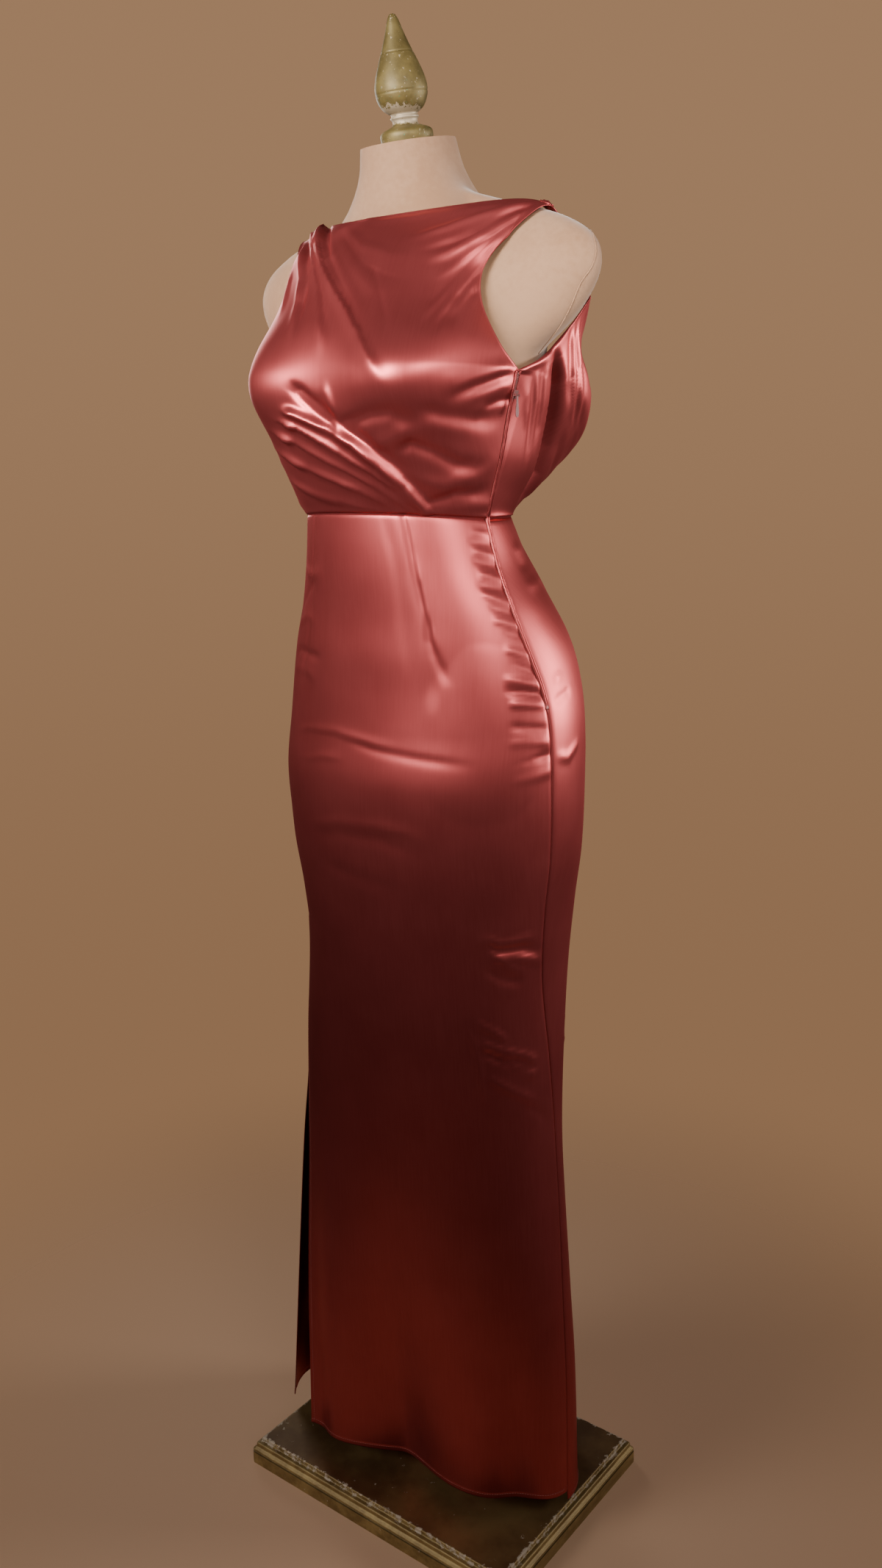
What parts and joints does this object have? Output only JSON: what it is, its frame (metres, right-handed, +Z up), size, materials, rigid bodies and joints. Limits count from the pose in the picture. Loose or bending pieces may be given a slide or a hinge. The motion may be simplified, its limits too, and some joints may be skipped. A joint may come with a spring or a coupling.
{
  "type": "evening gown on dress form",
  "caption": "Long sleeveless satin evening gown with pleated bodice, draped back and side slit, worn by a limbless dress form on a pole with a board foot.",
  "frame": {"origin": "middle of the foot board's underside", "axes": "+Z up, the gown's front faces -Y, the wearer's left side is +X"},
  "size_m": [0.4404, 0.3318, 1.6853],
  "materials": {
    "rust_satin": "satin, smooth sheen",
    "zip_nylon": "matt nylon coil",
    "painted_zip_metal": "gloss paint",
    "beige_jersey": "matt jersey",
    "antique_gold": "worn gold paint",
    "worn_brown_gold": "worn brown gold paint",
    "black_steel": "satin black"
  },
  "bodies": {
    "gown_on_form": {"bodice_front": "rust_satin", "bodice_back": "rust_satin", "skirt_front": "rust_satin", "skirt_back": "rust_satin", "side_zip": "zip_nylon", "zip_slider": "painted_zip_metal", "form_torso": "beige_jersey", "finial": "antique_gold", "stand_pole": "black_steel", "foot_board": "antique_gold", "foot_moulding": "antique_gold", "foot_panel": "worn_brown_gold"},
    "zip_tab": {"zip_pull": "painted_zip_metal"}
  },
  "joints": [
    {"name": "tab_swing", "type": "hinge", "parent": "gown_on_form", "child": "zip_tab", "pos_m": [0.1545, -0.03759, 1.31524], "axis": [-0.0994, -0.9945, 0.0343], "range_deg": [-12, 130]}
  ]
}
